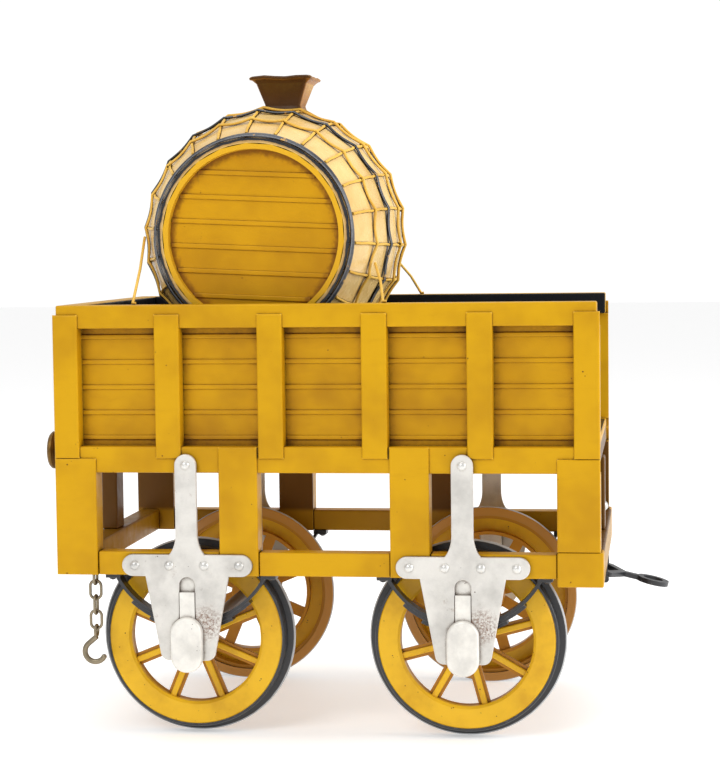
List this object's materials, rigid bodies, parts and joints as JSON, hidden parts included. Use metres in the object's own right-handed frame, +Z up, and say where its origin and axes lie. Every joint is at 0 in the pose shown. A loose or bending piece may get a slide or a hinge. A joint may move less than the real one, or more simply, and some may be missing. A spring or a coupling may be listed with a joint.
{
  "type": "model railway tender wagon",
  "caption": "Small painted metal tender wagon: open planked body on flanged spoked wheels, with a netted water barrel across it, buffers, a drawbar and a hooked chain.",
  "frame": {"origin": "on the ground, under the centre of the overall bounding box", "axes": "+X along the wagon towards the drawbar end, +Y across it towards the far side, +Z up"},
  "size_m": [0.177, 0.1074, 0.1857],
  "materials": {
    "guard_silver": "silver paint, satin, worn and rust speckled",
    "box_steel": "worn plated, rusty at the edges",
    "bolt_steel": "worn plated",
    "spring_black": "semi-gloss black",
    "tyre_black": "semi-gloss black with a bright worn rim",
    "wheel_yellow": "yellow enamel with brown patina",
    "axle_steel": "dull dark steel",
    "stave_yellow": "aged pale yellow enamel",
    "head_yellow": "aged mustard enamel",
    "hoop_black": "chipped black paint",
    "net_yellow": "pale yellow painted wire",
    "funnel_brown": "brown patina over yellow",
    "cradle_black": "dull black",
    "buffer_brass": "dark aged brass",
    "drawbar_black": "semi-gloss black",
    "chain_steel": "aged brown silver",
    "plank_yellow": "aged yellow enamel outside, dull black inside",
    "frame_yellow": "yellow enamel with patina at the edges"
  },
  "bodies": {
    "wagon_body": {"barrel_cradles": "cradle_black", "barrel_heads": "head_yellow", "barrel_hoops": "hoop_black", "barrel_net": "net_yellow", "barrel_shell": "stave_yellow", "buffers": "buffer_brass", "chain_eye": "chain_steel", "drawbar_bracket": "drawbar_black", "end_posts": "frame_yellow", "far_bottom_rail": "frame_yellow", "far_frame_posts": "frame_yellow", "far_front_axle_box": "box_steel", "far_front_axle_guard": "guard_silver", "far_front_leaf_spring": "spring_black", "far_rear_axle_box": "box_steel", "far_rear_axle_guard": "guard_silver", "far_rear_leaf_spring": "spring_black", "far_side_planks": "plank_yellow", "far_sill": "frame_yellow", "far_top_rail": "frame_yellow", "far_upper_stakes": "frame_yellow", "filler_funnel": "funnel_brown", "floor": "plank_yellow", "frame_bolts": "bolt_steel", "front_beam": "frame_yellow", "front_bottom_rail": "frame_yellow", "near_bottom_rail": "frame_yellow", "near_frame_posts": "frame_yellow", "near_front_axle_box": "box_steel", "near_front_axle_guard": "guard_silver", "near_front_leaf_spring": "spring_black", "near_rear_axle_box": "box_steel", "near_rear_axle_guard": "guard_silver", "near_rear_leaf_spring": "spring_black", "near_side_planks": "plank_yellow", "near_sill": "frame_yellow", "near_top_rail": "frame_yellow", "near_upper_stakes": "frame_yellow", "rear_beam": "frame_yellow", "rear_bottom_rail": "frame_yellow", "rear_end_planks": "plank_yellow", "rear_top_rail": "frame_yellow", "rear_upper_stakes": "frame_yellow", "spring_rivets": "spring_black"},
    "rear_wheelset": {"rear_axle": "axle_steel", "near_rear_wheel": "wheel_yellow", "near_rear_tyre": "tyre_black", "far_rear_wheel": "wheel_yellow", "far_rear_tyre": "tyre_black"},
    "front_wheelset": {"front_axle": "axle_steel", "near_front_wheel": "wheel_yellow", "near_front_tyre": "tyre_black", "far_front_wheel": "wheel_yellow", "far_front_tyre": "tyre_black"},
    "drawbar": {"drawbar": "drawbar_black"},
    "chain_link_1": {"chain_link_1": "chain_steel"},
    "chain_link_2": {"chain_link_2": "chain_steel"},
    "chain_link_3": {"chain_link_3": "chain_steel"},
    "chain_hook": {"chain_hook": "chain_steel"}
  },
  "joints": [
    {"name": "rear_wheels_turn", "type": "hinge", "parent": "wagon_body", "child": "rear_wheelset", "pos_m": [-0.04272, 0, 0.0274], "axis": [0, 1, 0], "continuous": true},
    {"name": "front_wheels_turn", "type": "hinge", "parent": "wagon_body", "child": "front_wheelset", "pos_m": [0.03328, 0, 0.0274], "axis": [0, 1, 0], "continuous": true},
    {"name": "drawbar_lift", "type": "hinge", "parent": "wagon_body", "child": "drawbar", "pos_m": [0.06908, 0, 0.0414], "axis": [0, -1, 0], "range_deg": [0, 40]},
    {"name": "chain_swing_1", "type": "hinge", "parent": "wagon_body", "child": "chain_link_1", "pos_m": [-0.06972, -0.0466, 0.0429], "axis": [0, 1, 0], "range_deg": [-20, 30]},
    {"name": "chain_swing_2", "type": "hinge", "parent": "chain_link_1", "child": "chain_link_2", "pos_m": [-0.06972, -0.0466, 0.03872], "axis": [1, 0, 0], "range_deg": [-30, 8]},
    {"name": "chain_swing_3", "type": "hinge", "parent": "chain_link_2", "child": "chain_link_3", "pos_m": [-0.06972, -0.0466, 0.03454], "axis": [0, 1, 0], "range_deg": [-20, 30]},
    {"name": "hook_swing", "type": "hinge", "parent": "chain_link_3", "child": "chain_hook", "pos_m": [-0.06972, -0.0466, 0.03036], "axis": [1, 0, 0], "range_deg": [-30, 8]}
  ]
}
